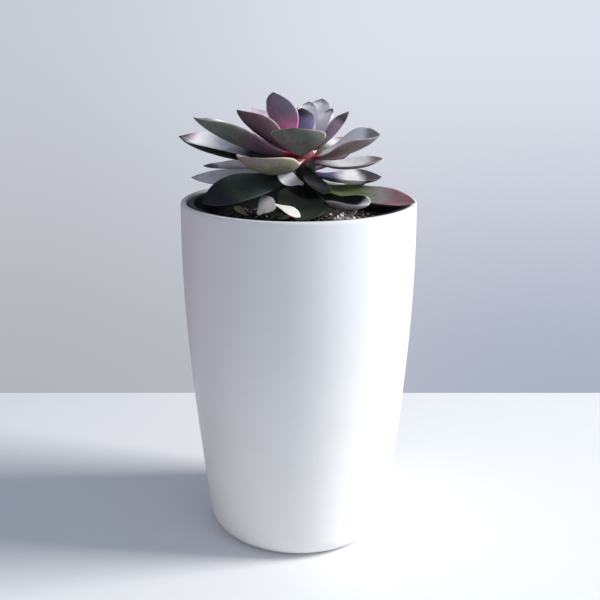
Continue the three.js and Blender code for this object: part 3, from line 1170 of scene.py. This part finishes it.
def leafMaterial():
    material, board = newMaterial("pearlLeaf")
    place = board.place()
    layout = board.node("ShaderNodeUVMap", {"uv_map": "leafMap"})
    along = board.part(layout, "X")
    across = board.part(layout, "Y")
    edge = abs(2 * across - 1)
    alongLane, acrossLane, seedLane = leafSkin["lanes"]
    lane = board.node("ShaderNodeCombineXYZ", inputs={
        0: along * alongLane,
        1: across * acrossLane,
        2: board.painted("leafSeed", 2) * seedLane,
    })
    streak = board.speckle(lane, 1, 3, 0.6)
    cloud = board.speckle(place, leafSkin["cloud"], 4, 0.6)
    dust = board.speckle(place, leafSkin["dust"], 3, 0.6)
    mottle = board.speckle(place, leafSkin["mottle"], 3, 0.6)
    face = board.ease(board.painted("upperFace", 2), leafSkin["faceFrom"])
    colour = board.mix(board.painted("underTone"), board.painted("overTone"), face)
    warm = board.ease(across + cloud * 0.4, leafSkin["warmFrom"]) * leafSkin["warmShare"]
    colour = board.mix(colour, leafSkin["warm"], warm, "MULTIPLY")
    # Near the stem the root tone takes over; on leaves 11 and 18 it is near black, painted shade.
    nearRoot = board.ease(along + cloud * 0.25 - board.painted("rootEnd", 2), leafSkin["rootFrom"])
    colour = board.mix(colour, board.painted("rootTone"), nearRoot * board.painted("rootTone", 3))
    tipLine = along + (edge - 0.5) * 0.05 + cloud * 0.22 - board.painted("tipStart", 2)
    nearTip = board.ease(tipLine, leafSkin["tipFrom"]) * leafSkin["tipShare"]
    colour = board.mix(colour, board.painted("tipTone"), nearTip)
    streaked = board.ease(streak, leafSkin["streakFrom"]) * leafSkin["streakShare"]
    colour = board.mix(colour, leafSkin["streak"], streaked, "MULTIPLY")
    mottled = board.ease(mottle, leafSkin["mottleFrom"]) * leafSkin["mottleShare"]
    colour = board.mix(colour, leafSkin["mottled"], mottled, "MULTIPLY")
    wax = board.ease(cloud + 0.35 * streak, leafSkin["waxFrom"])
    colour = board.mix(colour, leafSkin["wax"], wax, "MULTIPLY")
    dusty = board.ease(dust, leafSkin["dustFrom"]) * leafSkin["dustShare"]
    colour = board.mix(colour, leafSkin["dusty"], dusty)
    rising = board.ease(board.part(place, "Z"), leafSkin["youngRise"])
    young = board.ease(along, leafSkin["youngAlong"]) * rising
    colour = board.mix(colour, leafSkin["young"], young * leafSkin["youngShare"])
    # Pale margins: partly the leaf's own paler edge and partly a painted highlight where the edges catch
    # the light.
    rim = board.ease(edge + streak * 0.03, leafSkin["paleRimAndHighlightFrom"]) * leafSkin["paleRimAndHighlightShare"]
    colour = board.mix(colour, leafSkin["rim"], rim, "DODGE")
    colour = board.mix(colour, leafSkin["palest"], 1, "DARKEN")
    board.finish({
        "Base Color": colour,
        "Roughness": 0.5 + 0.2 * wax,
        "Normal": board.bump(cloud * 0.6 + streak * 0.25 + dust * 0.12, leafSkin["relief"]),
        "Specular IOR Level": leafSkin["sheen"],
        "Subsurface Weight": 0.06,
        "Subsurface Radius": (0.8, 0.5, 0.4),
        "Subsurface Scale": leafSkin["glowDeep"],
    })
    return material


def paintTone(mesh, name, tone):
    layer = mesh.attributes.new(name, "FLOAT_COLOR", "POINT")
    shade = (*tones[tone], 1) if tone else (0, 0, 0, 0)
    layer.data.foreach_set("color", shade * len(mesh.vertices))


def paintValue(mesh, name, value):
    layer = mesh.attributes.new(name, "FLOAT", "POINT")
    layer.data.foreach_set("value", [value] * len(mesh.vertices))


def bend(piece, axis, angle):
    modifier = piece.modifiers.new("bend" + axis, "SIMPLE_DEFORM")
    modifier.deform_method = "BEND"
    modifier.deform_axis = axis
    modifier.angle = angle


# The flat leaf copied, brought to size, then bent across and along
def bentLeaf(master, name, length, width, thickness, curl, cup):
    piece = master.copy()
    piece.data = master.data.copy()
    piece.name = name
    scene.collection.objects.link(piece)
    mesh = piece.data
    mesh.transform(Matrix.Diagonal((length, thickness, width / 2, 1)))
    for vert in mesh.vertices:
        if vert.co.x < 0:
            vert.co.x *= leafShape["rootReach"] / (leafShape["rootStart"] * length)
    alone(piece)
    xs = [v.co.x for v in mesh.vertices]
    zs = [v.co.z for v in mesh.vertices]
    bend(piece, "X", math.radians(cup) * (max(zs) - min(zs)) / width)
    if curl:
        bend(piece, "Z", math.radians(curl) * (max(xs) - min(xs)) / length)
    applyAll(piece)
    return piece


def standLeaf(piece, spot, azimuth, rise, roll):
    turns = Matrix.Translation(spot) @ Matrix.Rotation(math.radians(azimuth), 4, "Z")
    tips = Matrix.Rotation(math.radians(-rise), 4, "Y") @ Matrix.Rotation(math.radians(roll), 4, "X")
    piece.data.transform(turns @ tips @ Matrix.Rotation(math.pi / 2, 4, "X"))


def finishLeaf(piece, shades, reach, seed, material, lumps, wobble):
    rough = piece.modifiers.new("wobble", "DISPLACE")
    rough.texture = lumps
    rough.strength = wobble
    rough.mid_level = 0.5
    applyAll(piece)
    for name, tone in zip(("underTone", "overTone", "rootTone", "tipTone"), shades):
        paintTone(piece.data, name, tone)
    for name, value in zip(("leafSeed", "rootEnd", "tipStart"), (seed, *reach)):
        paintValue(piece.data, name, value)
    dress(piece, material)
    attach(piece, "root")


def makeLeaf(master, number, place, material, lumps):
    azimuth, height, rise, curl, roll, cup, length, width = place[:8]
    height, length, width = height * mm, length * mm, width * mm
    thickness = leafShape["thinnest"] + leafShape["thickening"] * width
    piece = bentLeaf(master, "leafSkin_%02d" % number, length, width, thickness, curl, cup)
    tilt = math.sin(math.radians(rise))
    # a tilted leaf stands further out, so that its root's corner stays clear of the stem
    clear = leafShape["stemGap"] + thickness * max(0.1 * tilt, -0.65 * tilt)
    outward = Vector((stemRadius(height) + clear, 0, height))
    turned = Matrix.Rotation(math.radians(azimuth), 3, "Z") @ outward
    standLeaf(piece, turned + Vector((stemCentre(height), 0, 0)), azimuth, rise, roll)
    reach = leafReach.get(number, (leafShape["rootEnd"], leafShape["tipStart"]))
    seed = number * leafShape["seedStep"]
    finishLeaf(piece, place[8:], reach, seed, material, lumps, leafShape["wobble"])
    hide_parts("leaf_%02d" % number)


# Litter: dry and green bits of leaf lying on the soil
litter = {
    "thickness": 0.7 * mm,
    "wobble": 0.9 * mm,
    "seedStep": 0.53,
    # place, azimuth, rise, roll, length, width, curl, cup, tone
    "bits": (
        ((1.5, -14, 190.2), 180, 18, -55, 12.5, 8.5, 10, 45, "chalk"),
        ((-10, -43, 184.8), -21, -19, 30, 12.5, 5, -10, 30, "straw"),
        ((-21, 9, 170.8), 56, 25, 45, 13, 9.5, 15, 40, "chalk"),
        ((-13, -1, 171), -24, -6, 15, 10, 4, 20, 50, "straw"),
        ((-27, 6, 170.6), 140, 10, -10, 9, 5, 30, 70, "hay"),
        ((-16, -4, 170.2), 6, 10, 0, 9, 5, 20, 60, "sprig"),
        ((17, -2, 170.2), 200, 8, 10, 8, 4, 10, 50, "sprig"),
        ((24, 3, 170.4), 330, 12, 20, 8, 4.5, 30, 70, "straw"),
        ((13, -5, 170.3), 10, 6, 0, 6, 3, 10, 50, "hay"),
    ),
}


def makeBit(master, number, bit, material, lumps):
    spot, azimuth, rise, roll, length, width, curl, cup, tone = bit
    name = "leafBit_%02d" % number
    piece = bentLeaf(master, name, length * mm, width * mm, litter["thickness"], curl, cup)
    standLeaf(piece, Vector(spot) * mm, azimuth, rise, roll)
    seed = number * litter["seedStep"]
    finishLeaf(piece, (tone, tone, "", tone), (0, 1), seed, material, lumps, litter["wobble"])


def makeRosette():
    master = leafMaster()
    material = leafMaterial()
    lumps = bpy.data.textures.new("leafLumps", "CLOUDS")
    lumps.noise_scale = leafShape["wobbleScale"]
    for number, place in enumerate(rosette, 1):
        makeLeaf(master, number, place, material, lumps)
    for number, bit in enumerate(litter["bits"], 1):
        makeBit(master, number, bit, material, lumps)
    bpy.data.objects.remove(master)


makeRosette()
print("leaves made")
